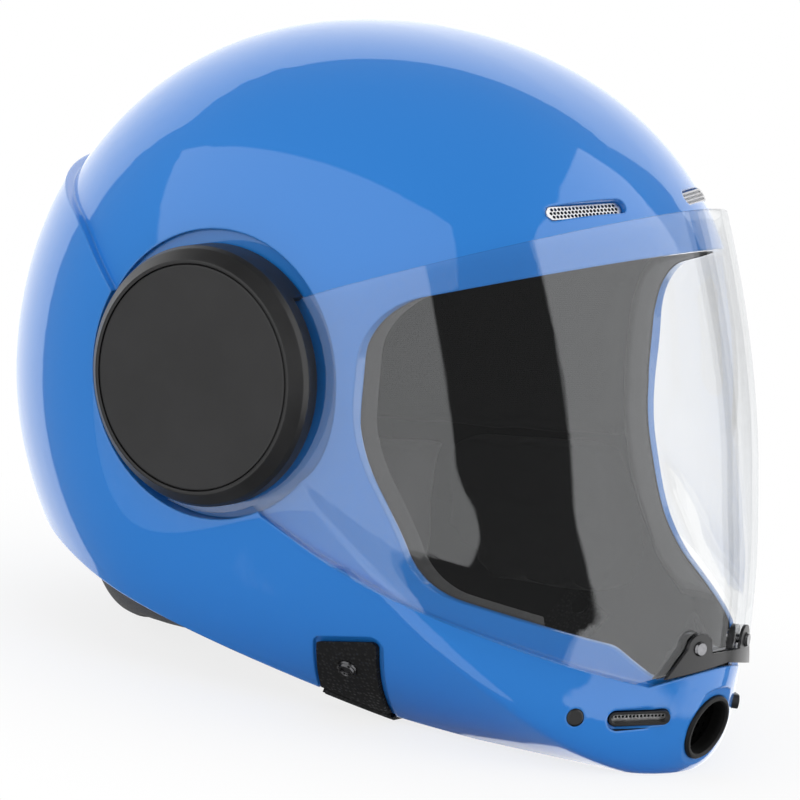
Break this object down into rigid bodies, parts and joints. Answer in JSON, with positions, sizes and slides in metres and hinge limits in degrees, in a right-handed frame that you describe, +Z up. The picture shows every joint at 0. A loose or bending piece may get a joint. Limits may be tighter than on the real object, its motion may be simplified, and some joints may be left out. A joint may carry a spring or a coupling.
{
  "type": "full-face skydiving helmet",
  "caption": "Full-face skydiving helmet: rounded shell, clear wrap-around visor that lifts on two round side pivots, centre latch, brow and chin vents, mouth port, strap tabs and padded lining.",
  "frame": {"origin": "middle of the overall box on the resting plane, under the chin and the neck roll", "axes": "+X to the wearer's left along the visor pivot axis, -Y forward, +Z up"},
  "size_m": [0.218, 0.2813, 0.2211],
  "materials": {
    "black_plastic": "black satin",
    "bright_steel": "bright plated",
    "clear_visor": "clear polished polycarbonate",
    "dark_chrome": "dark plated",
    "dark_mesh": "perforated, satin",
    "latch_black": "semi-gloss black",
    "liner_foam": "foam liner under a thin dark cloth",
    "pad_fabric": "brushed dark grey lining cloth",
    "rubber_trim": "black moulded rubber",
    "shell_paint": "gloss painted composite, clear coated",
    "strap_leather": "grained black leatherette"
  },
  "bodies": {
    "helmet": {"brow_vent_mesh_left": "dark_mesh", "brow_vent_mesh_right": "dark_mesh", "cheek_pad_left": "pad_fabric", "cheek_pad_right": "pad_fabric", "chin_pad": "pad_fabric", "chin_plug_left": "rubber_trim", "chin_plug_right": "rubber_trim", "chin_vent_frame_left": "rubber_trim", "chin_vent_frame_right": "rubber_trim", "chin_vent_mesh_left": "dark_mesh", "chin_vent_mesh_right": "dark_mesh", "crown_pad": "pad_fabric", "face_trim": "rubber_trim", "impact_liner": "liner_foam", "latch_keeper": "black_plastic", "mouth_port_mesh": "dark_mesh", "mouth_port_ring": "rubber_trim", "neck_roll": "pad_fabric", "outer_shell": "shell_paint", "pivot_base_left": "black_plastic", "pivot_base_right": "black_plastic", "pivot_bolt_left": "bright_steel", "pivot_bolt_right": "bright_steel", "pivot_nut_left": "bright_steel", "pivot_nut_right": "bright_steel", "pivot_washer_left": "bright_steel", "pivot_washer_right": "bright_steel", "rear_pad": "pad_fabric", "snap_stud_left": "dark_chrome", "snap_stud_right": "dark_chrome", "strap_loop_left": "strap_leather", "strap_loop_right": "strap_leather", "strap_rivet_left": "dark_chrome", "strap_rivet_right": "dark_chrome"},
    "visor": {"bezel_screws_left": "bright_steel", "bezel_screws_right": "bright_steel", "cover_disc_left": "black_plastic", "cover_disc_right": "black_plastic", "latch_inner_plate": "latch_black", "latch_outer_plate": "latch_black", "latch_studs": "bright_steel", "visor_bezel_left": "black_plastic", "visor_bezel_right": "black_plastic", "visor_lens": "clear_visor"},
    "strap_tab_left": {"strap_tab_left": "strap_leather", "snap_cap_left": "dark_chrome"},
    "strap_tab_right": {"strap_tab_right": "strap_leather", "snap_cap_right": "dark_chrome"}
  },
  "joints": [
    {"name": "visor_lift", "type": "hinge", "parent": "helmet", "child": "visor", "pos_m": [0, 0.01546, 0.10837], "axis": [-1, 0, 0], "range_deg": [0, 68]},
    {"name": "strap_tab_left_fold", "type": "hinge", "parent": "helmet", "child": "strap_tab_left", "pos_m": [0.05774, -0.03582, 0.00471], "axis": [0.4877, 0.846, 0.2156], "range_deg": [0, 90]},
    {"name": "strap_tab_right_fold", "type": "hinge", "parent": "helmet", "child": "strap_tab_right", "pos_m": [-0.05774, -0.03582, 0.00471], "axis": [0.4877, -0.846, -0.2156], "range_deg": [0, 90]}
  ]
}
